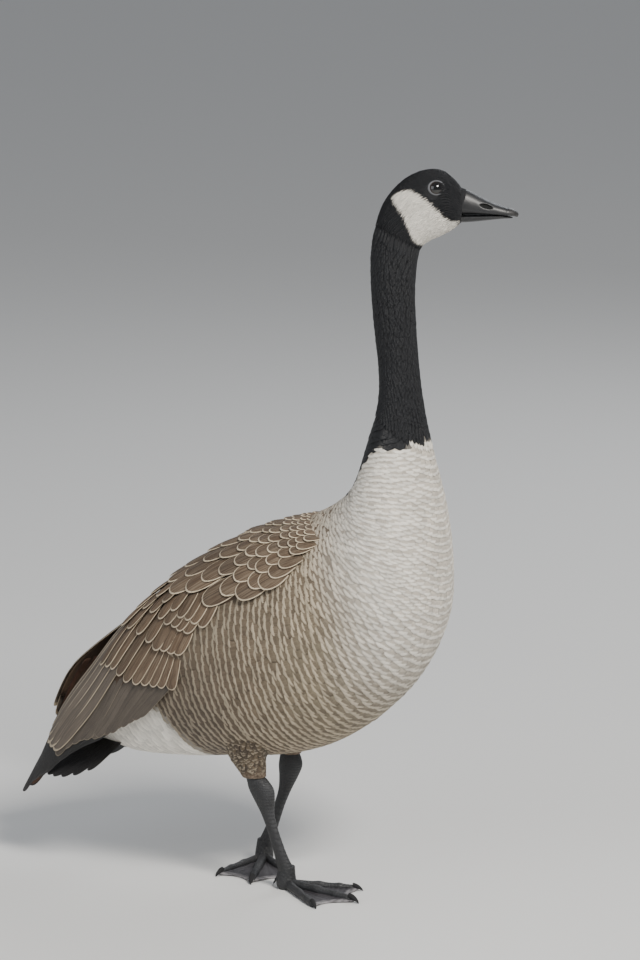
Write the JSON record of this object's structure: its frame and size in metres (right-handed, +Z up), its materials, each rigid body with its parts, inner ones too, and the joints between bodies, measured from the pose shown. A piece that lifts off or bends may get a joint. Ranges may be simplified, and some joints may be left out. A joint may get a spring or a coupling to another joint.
{
  "type": "canada goose",
  "caption": "Standing Canada goose with folded wings, black neck and head with a pale cheek patch, and webbed feet flat on the ground.",
  "frame": {"origin": "centre of the bounding box at the soles", "axes": "+X ahead of the body, +Y to the bird's left, +Z up"},
  "size_m": [0.5186, 0.205, 0.7296],
  "materials": {
    "dark_feather": "black contour feathers, soft sheen",
    "pale_feather": "pale breast and barred brown-grey flank feathers",
    "brown_feather": "brown vanes with pale edges",
    "bill_horn": "black horn, satin",
    "leg_skin": "black-grey scaled skin",
    "eye": "wet dark brown eye"
  },
  "bodies": {
    "root": {"head": "dark_feather", "bill_upper": "bill_horn", "bill_lower": "bill_horn", "eye_right": "eye", "eye_left": "eye", "neck": "dark_feather", "torso": "pale_feather", "tail": "dark_feather", "wing_right": "brown_feather", "wing_left": "brown_feather", "thigh_right": "brown_feather", "thigh_left": "brown_feather", "shank_right": "leg_skin", "shank_left": "leg_skin", "foot_right": "leg_skin", "foot_left": "leg_skin"}
  },
  "joints": []
}
